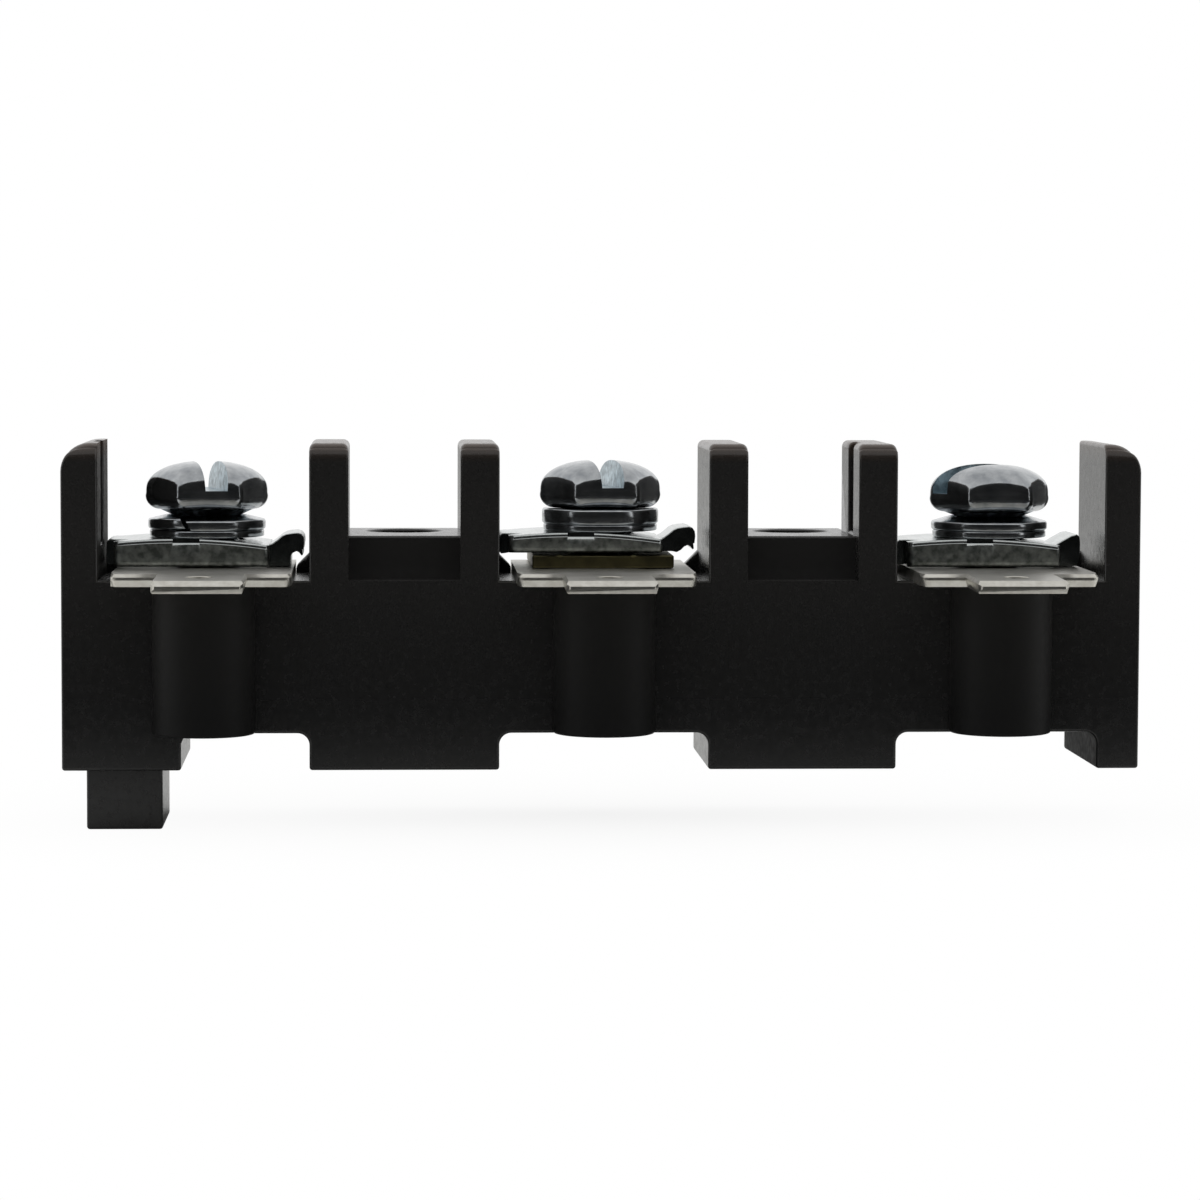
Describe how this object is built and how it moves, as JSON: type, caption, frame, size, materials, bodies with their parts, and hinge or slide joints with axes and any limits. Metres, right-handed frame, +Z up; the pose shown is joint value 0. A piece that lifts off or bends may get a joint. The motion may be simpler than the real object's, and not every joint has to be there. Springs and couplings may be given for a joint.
{
  "type": "dryer terminal block",
  "caption": "Black moulded barrier block with tinned terminal plates, quick-connect tabs, and slotted hex screws over wire clamps, joining a dryer's supply cord to its wiring.",
  "frame": {"origin": "midway between the two mounting holes, on the plane of the feet", "axes": "+X to the right along the row of poles, -Y to the front where the tabs point, +Z up out of the screws' heads"},
  "size_m": [0.0758, 0.0237, 0.027],
  "materials": {
    "moulded_black": "moulded, semi-gloss",
    "tinned_plate": "bright tin plate",
    "zinc_steel": "bright blue zinc plate",
    "clamp_steel": "stamped, clear zinc plate",
    "link_brass": "rolled, dull"
  },
  "bodies": {
    "block": {"block_body": "moulded_black", "left_terminal_plate": "tinned_plate", "centre_terminal_plate": "tinned_plate", "right_terminal_plate": "tinned_plate", "left_nut": "zinc_steel", "centre_nut": "zinc_steel", "right_nut": "zinc_steel", "neutral_link": "link_brass"},
    "left_clamp_stack": {"left_clamp": "clamp_steel", "left_flat_washer": "zinc_steel", "left_lock_washer": "zinc_steel"},
    "centre_clamp_stack": {"centre_clamp": "clamp_steel", "centre_flat_washer": "zinc_steel", "centre_lock_washer": "zinc_steel"},
    "right_clamp_stack": {"right_clamp": "clamp_steel", "right_flat_washer": "zinc_steel", "right_lock_washer": "zinc_steel"},
    "left_screw": {"left_screw": "zinc_steel"},
    "centre_screw": {"centre_screw": "zinc_steel"},
    "right_screw": {"right_screw": "zinc_steel"}
  },
  "joints": [
    {"name": "left_lift", "type": "slide", "parent": "block", "child": "left_clamp_stack", "axis": [0, 0, 1], "range_m": [0, 0.00317]},
    {"name": "left_turn", "type": "hinge", "parent": "left_clamp_stack", "child": "left_screw", "pos_m": [-0.028, -0.0034, 0.0137], "axis": [0, 0, 1], "range_deg": [0, 1440]},
    {"name": "centre_lift", "type": "slide", "parent": "block", "child": "centre_clamp_stack", "axis": [0, 0, 1], "range_m": [0, 0.00317]},
    {"name": "centre_turn", "type": "hinge", "parent": "centre_clamp_stack", "child": "centre_screw", "pos_m": [0, -0.0034, 0.0137], "axis": [0, 0, 1], "range_deg": [0, 1440]},
    {"name": "right_lift", "type": "slide", "parent": "block", "child": "right_clamp_stack", "axis": [0, 0, 1], "range_m": [0, 0.00317]},
    {"name": "right_turn", "type": "hinge", "parent": "right_clamp_stack", "child": "right_screw", "pos_m": [0.028, -0.0034, 0.0137], "axis": [0, 0, 1], "range_deg": [0, 1440]}
  ],
  "couplings": [
    {"joint": "left_turn", "follows": "left_lift", "rad_per_m": 7915.8},
    {"joint": "centre_turn", "follows": "centre_lift", "rad_per_m": 7915.8},
    {"joint": "right_turn", "follows": "right_lift", "rad_per_m": 7915.8}
  ]
}
